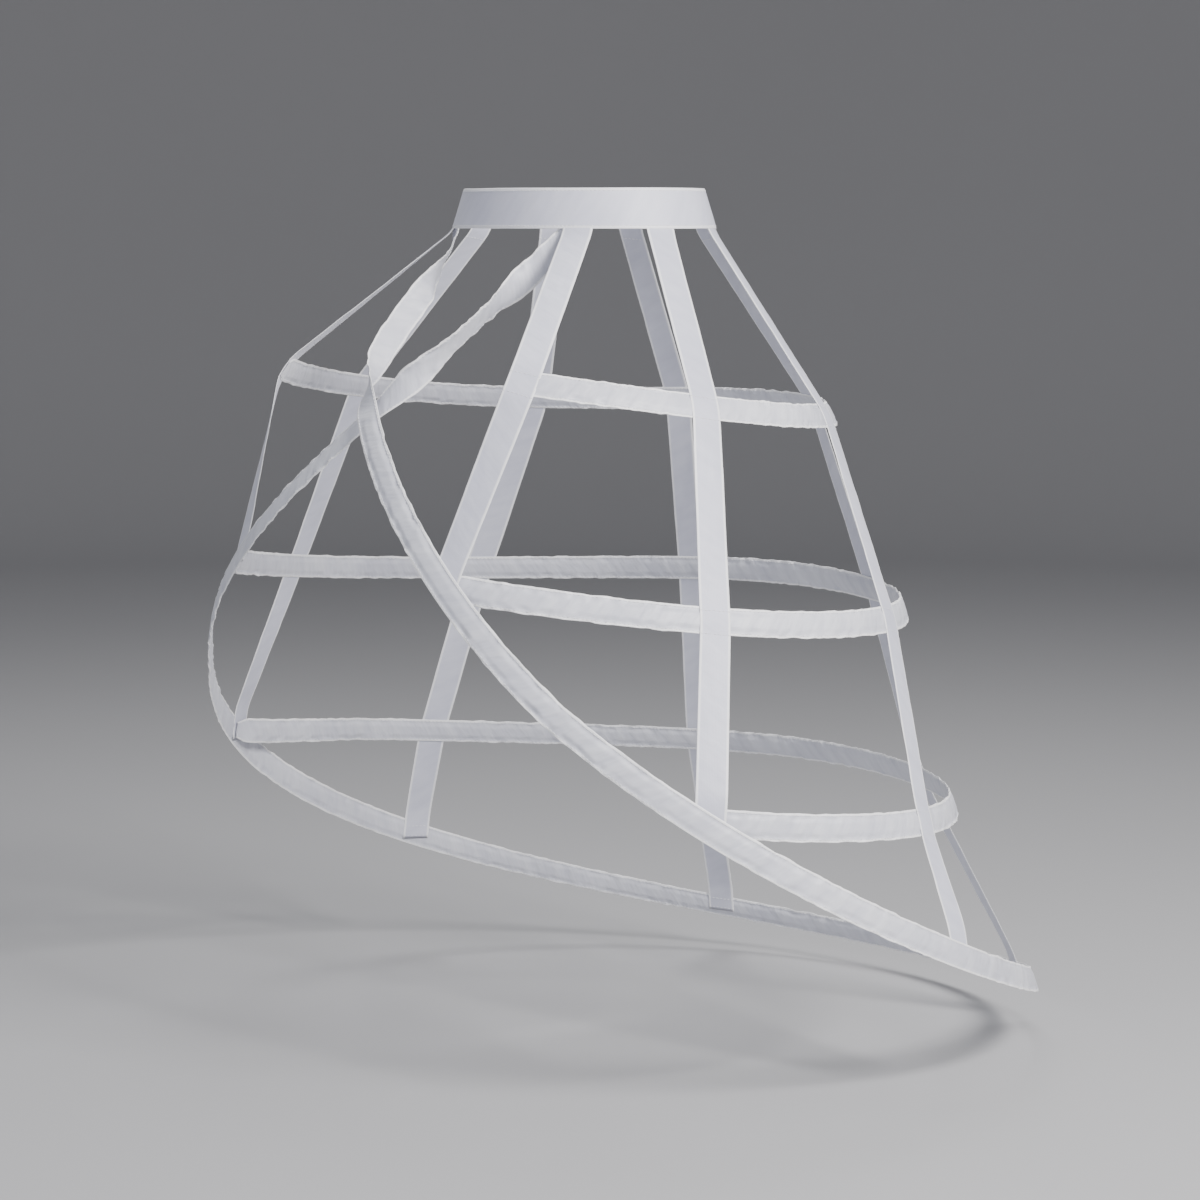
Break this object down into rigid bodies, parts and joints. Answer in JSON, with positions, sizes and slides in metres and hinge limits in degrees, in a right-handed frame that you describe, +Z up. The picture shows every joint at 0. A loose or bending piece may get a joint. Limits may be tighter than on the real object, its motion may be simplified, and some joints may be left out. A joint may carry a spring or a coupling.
{
  "type": "crinoline cage",
  "caption": "Open ribbon crinoline cage: lapped waistband, hanging straps, tape-covered steel hoops open at the front, and a sloping hem hoop that crosses itself in front and falls to a train.",
  "frame": {"origin": "centre of the waist opening, half way up the waistband", "axes": "+Z up, -Y to the front where the hem hoop crosses, +X to the wearer's left"},
  "size_m": [0.7582, 0.6405, 0.6964],
  "materials": {
    "waist_ribbon": "satin ribbon",
    "strap_ribbon": "satin ribbon",
    "hoop_tape": "sewn satin casing",
    "hoop_steel": "spring steel",
    "steel_tip": "pressed",
    "hook_metal": "plated"
  },
  "bodies": {
    "root": {"waistband": "waist_ribbon", "front_strap_left": "strap_ribbon", "front_strap_right": "strap_ribbon", "side_front_strap_left": "strap_ribbon", "side_front_strap_right": "strap_ribbon", "side_back_strap_left": "strap_ribbon", "side_back_strap_right": "strap_ribbon", "back_strap_left": "strap_ribbon", "back_strap_right": "strap_ribbon", "upper_hoop_casing": "hoop_tape", "upper_hoop_steel": "hoop_steel", "middle_hoop_casing": "hoop_tape", "middle_hoop_steel": "hoop_steel", "lower_hoop_casing": "hoop_tape", "lower_hoop_steel": "hoop_steel", "hem_hoop_casing": "hoop_tape", "hem_hoop_steel": "hoop_steel", "steel_tips": "steel_tip", "skirt_hooks": "hook_metal", "skirt_bars": "hook_metal"}
  },
  "joints": []
}
